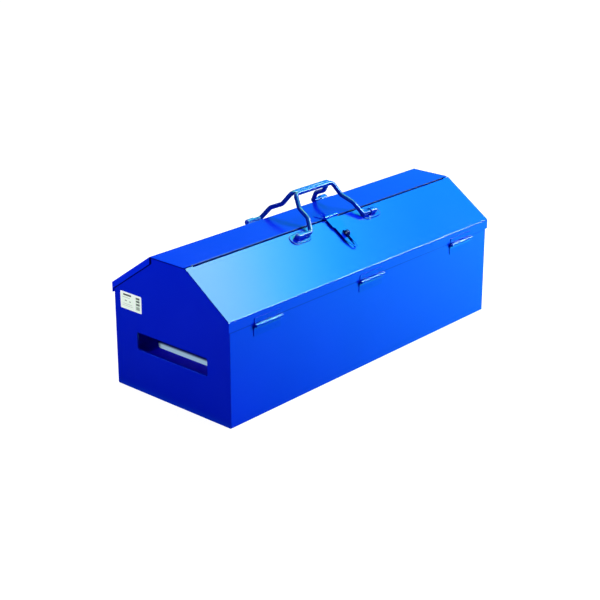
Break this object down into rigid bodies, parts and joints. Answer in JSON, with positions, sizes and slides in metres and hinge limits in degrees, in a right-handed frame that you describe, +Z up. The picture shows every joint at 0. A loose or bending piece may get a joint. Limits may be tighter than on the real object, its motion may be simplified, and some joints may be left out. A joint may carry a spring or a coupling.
{
  "type": "tool box",
  "caption": "Long steel tool box with hinged roof leaves, bent bar handles on the leaves, a hasp with a turning staple, and hand holes in the ends.",
  "frame": {"origin": "on the floor under the middle of the box", "axes": "+X along the box's length, -Y out of the side with the hasp, +Z up"},
  "size_m": [0.72, 0.295, 0.3102],
  "materials": {
    "blue_enamel": "glossy blue enamel",
    "hinge_enamel": "glossy blue enamel over rolled knuckles",
    "fitting_enamel": "glossy blue enamel over pressed steel",
    "handle_enamel": "glossy blue enamel over round bar",
    "zinc_plate": "pale zinc-plated sheet",
    "label_film": "matt film, blank"
  },
  "bodies": {
    "box": {"body_trough": "blue_enamel", "left_end_panel": "blue_enamel", "right_end_panel": "blue_enamel", "left_hand_pocket": "blue_enamel", "right_hand_pocket": "blue_enamel", "left_pocket_back": "zinc_plate", "right_pocket_back": "zinc_plate", "blank_label": "label_film", "front_left_hinge_wall_leaf": "hinge_enamel", "front_left_hinge_pin": "hinge_enamel", "front_middle_hinge_wall_leaf": "hinge_enamel", "front_middle_hinge_pin": "hinge_enamel", "front_right_hinge_wall_leaf": "hinge_enamel", "front_right_hinge_pin": "hinge_enamel", "rear_left_hinge_wall_leaf": "hinge_enamel", "rear_left_hinge_pin": "hinge_enamel", "rear_middle_hinge_wall_leaf": "hinge_enamel", "rear_middle_hinge_pin": "hinge_enamel", "rear_right_hinge_wall_leaf": "hinge_enamel", "rear_right_hinge_pin": "hinge_enamel"},
    "rear_lid": {"rear_lid": "blue_enamel", "rear_left_bracket": "fitting_enamel", "rear_right_bracket": "fitting_enamel", "hasp_top_leaf": "fitting_enamel", "hasp_pin": "fitting_enamel", "rear_left_hinge_lid_leaf": "hinge_enamel", "rear_middle_hinge_lid_leaf": "hinge_enamel", "rear_right_hinge_lid_leaf": "hinge_enamel"},
    "front_lid": {"front_lid": "blue_enamel", "front_left_bracket": "fitting_enamel", "front_right_bracket": "fitting_enamel", "staple_plate": "fitting_enamel", "front_left_hinge_lid_leaf": "hinge_enamel", "front_middle_hinge_lid_leaf": "hinge_enamel", "front_right_hinge_lid_leaf": "hinge_enamel"},
    "hasp": {"hasp_strap": "fitting_enamel"},
    "staple": {"staple_ring": "fitting_enamel"},
    "front_handle": {"front_handle": "handle_enamel"},
    "rear_handle": {"rear_handle": "handle_enamel"}
  },
  "joints": [
    {"name": "rear_lid_hinge", "type": "hinge", "parent": "box", "child": "rear_lid", "pos_m": [0, 0.14425, 0.1675], "axis": [-1, 0, 0], "range_deg": [0, 180]},
    {"name": "front_lid_hinge", "type": "hinge", "parent": "box", "child": "front_lid", "pos_m": [0, -0.14425, 0.1675], "axis": [1, 0, 0], "range_deg": [0, 153]},
    {"name": "hasp_hinge", "type": "hinge", "parent": "rear_lid", "child": "hasp", "pos_m": [0, -0.0445, 0.2614], "axis": [-1, 0, 0], "range_deg": [0, 150]},
    {"name": "staple_turn", "type": "hinge", "parent": "front_lid", "child": "staple", "pos_m": [0, -0.07892, 0.23227], "axis": [0, -0.5718, 0.8204], "range_deg": [0, 90]},
    {"name": "front_handle_hinge", "type": "hinge", "parent": "front_lid", "child": "front_handle", "pos_m": [0, -0.06091, 0.25207], "axis": [1, 0, 0], "range_deg": [0, 160]},
    {"name": "rear_handle_hinge", "type": "hinge", "parent": "rear_lid", "child": "rear_handle", "pos_m": [0, 0.06091, 0.25207], "axis": [-1, 0, 0], "range_deg": [0, 160]}
  ],
  "couplings": [
    {"joint": "front_lid_hinge", "follows": "rear_lid_hinge", "ratio": 0.85}
  ]
}
